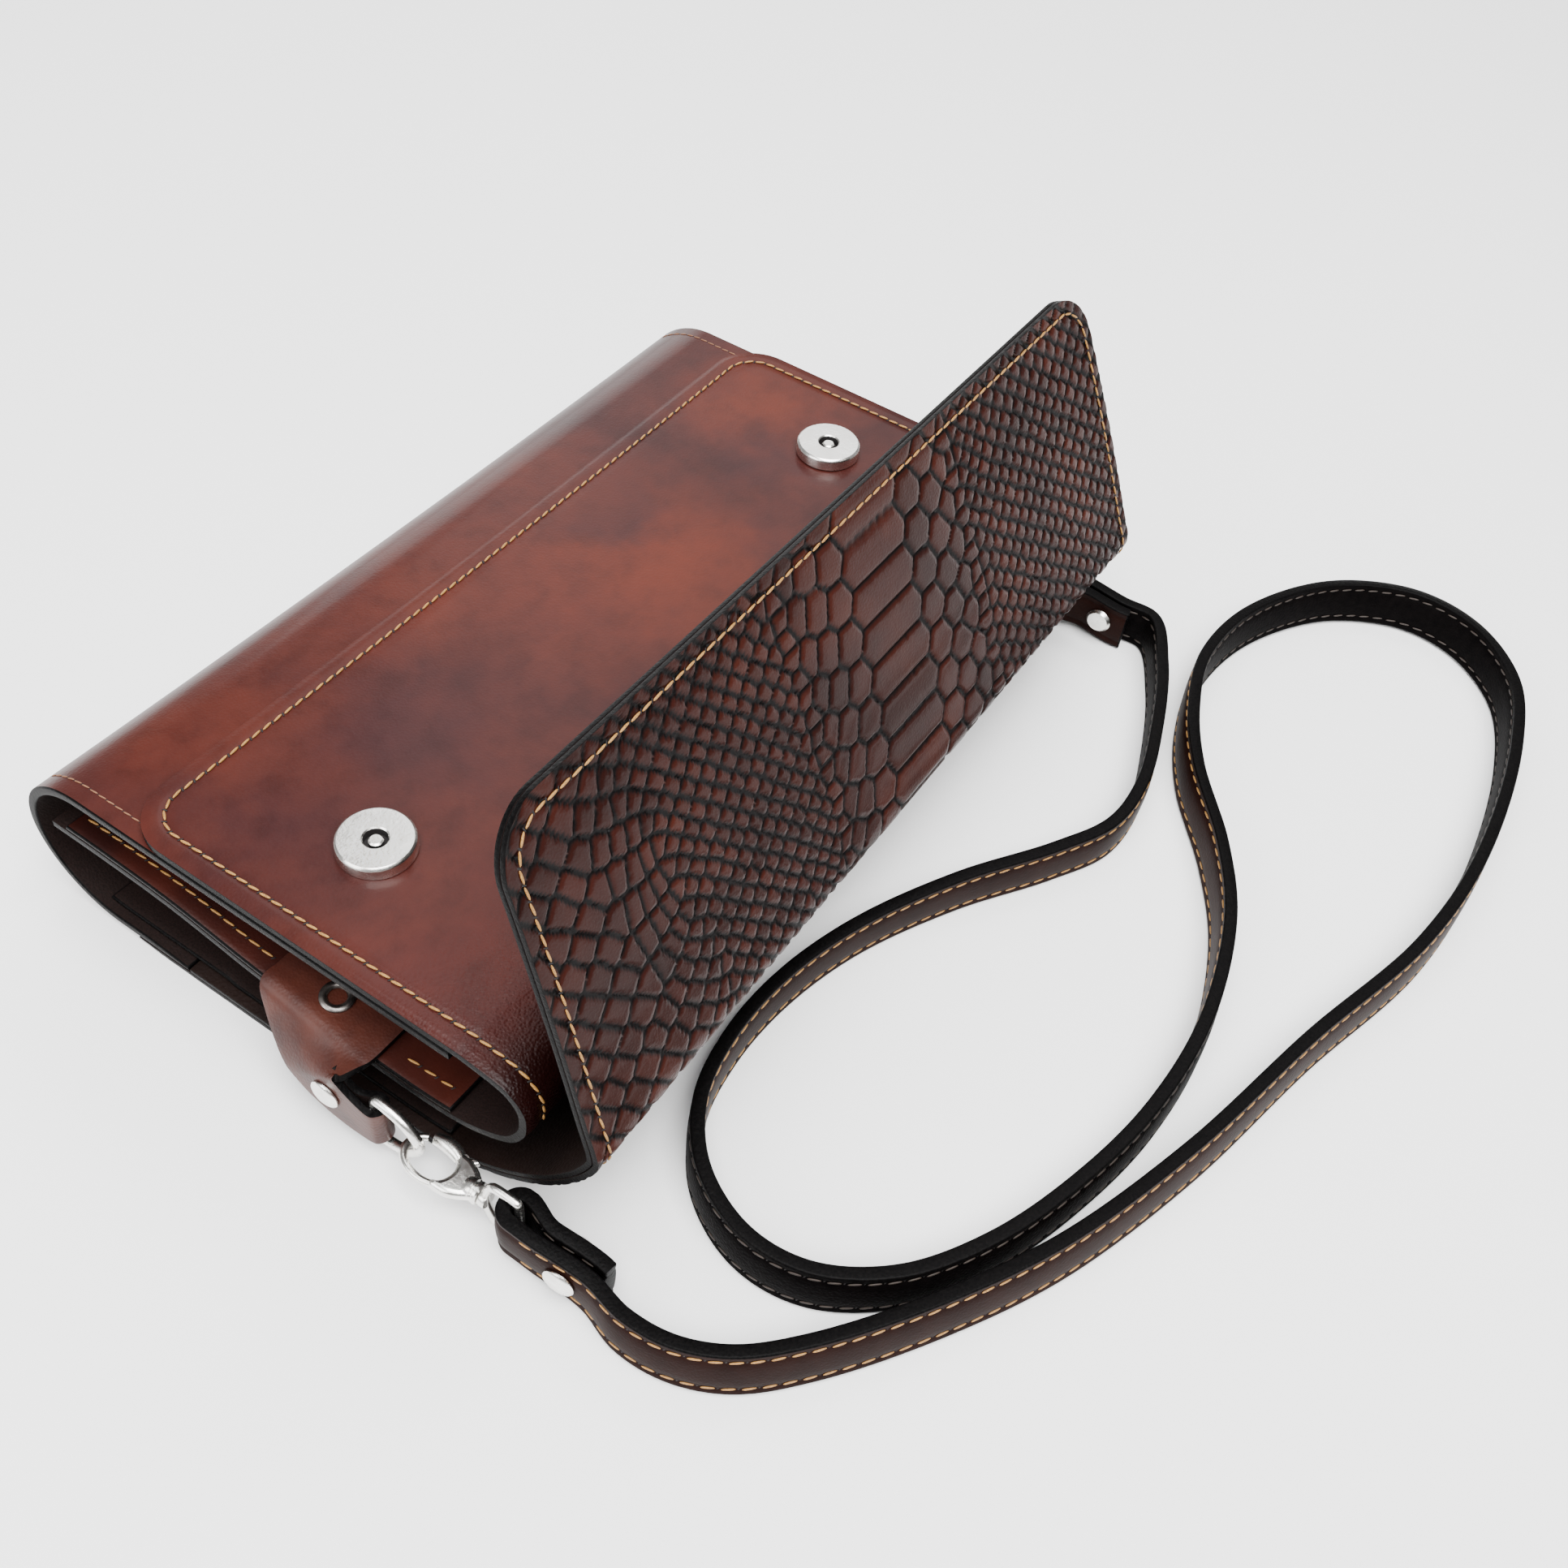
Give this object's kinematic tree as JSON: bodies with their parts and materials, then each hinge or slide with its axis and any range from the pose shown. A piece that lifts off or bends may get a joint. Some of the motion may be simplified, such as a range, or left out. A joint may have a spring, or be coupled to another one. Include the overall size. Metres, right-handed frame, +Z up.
{
  "type": "handbag",
  "caption": "Small leather crossbody bag on its back with its flap raised, magnet closure, and a long strap clipped to D-rings at both ends.",
  "frame": {"origin": "on the resting face of the back panel, under the middle of the body", "axes": "+X along the bag's width towards the far clasp, +Y from the mouth to the bottom fold, +Z up"},
  "size_m": [0.3288, 0.2906, 0.1139],
  "materials": {
    "patina_leather": "glossy hand-stained, mottled",
    "embossed_leather": "snake-embossed, semi-gloss",
    "lining_leather": "matt",
    "strap_leather": "satin",
    "nickel": "nickel-plated, polished",
    "dark_nickel": "gunmetal-plated"
  },
  "bodies": {
    "bag": {"front_shell": "patina_leather", "front_panel_and_divider": "patina_leather", "back_and_flap": "embossed_leather", "flap_lining": "lining_leather", "strap": "strap_leather", "front_gusset_near": "patina_leather", "back_gusset_near": "lining_leather", "tab_near": "patina_leather", "front_gusset_far": "patina_leather", "back_gusset_far": "lining_leather", "tab_far": "patina_leather", "magnet_near": "nickel", "flap_magnet_near": "nickel", "tab_rivet_near": "nickel", "d_ring_near": "nickel", "strap_rivet_near": "nickel", "tab_eyelet_near": "dark_nickel", "magnet_far": "nickel", "flap_magnet_far": "nickel", "tab_rivet_far": "nickel", "d_ring_far": "nickel", "strap_rivet_far": "nickel", "tab_eyelet_far": "dark_nickel", "clasp_eye_near": "nickel", "clasp_far": "nickel"},
    "clasp_body": {"clasp_hook_near": "nickel"},
    "clasp_gate": {"clasp_gate_near": "nickel"}
  },
  "joints": [
    {"name": "clasp_swivel", "type": "hinge", "parent": "bag", "child": "clasp_body", "pos_m": [-0.126, -0.0555, 0.0091], "axis": [0, 1, 0], "range_deg": [-25, 25]},
    {"name": "clasp_gate_hinge", "type": "hinge", "parent": "clasp_body", "child": "clasp_gate", "pos_m": [-0.12237, -0.0484, 0.0091], "axis": [0, 0, 1], "range_deg": [0, 11], "stiffness_Nm_per_rad": 0.01}
  ]
}
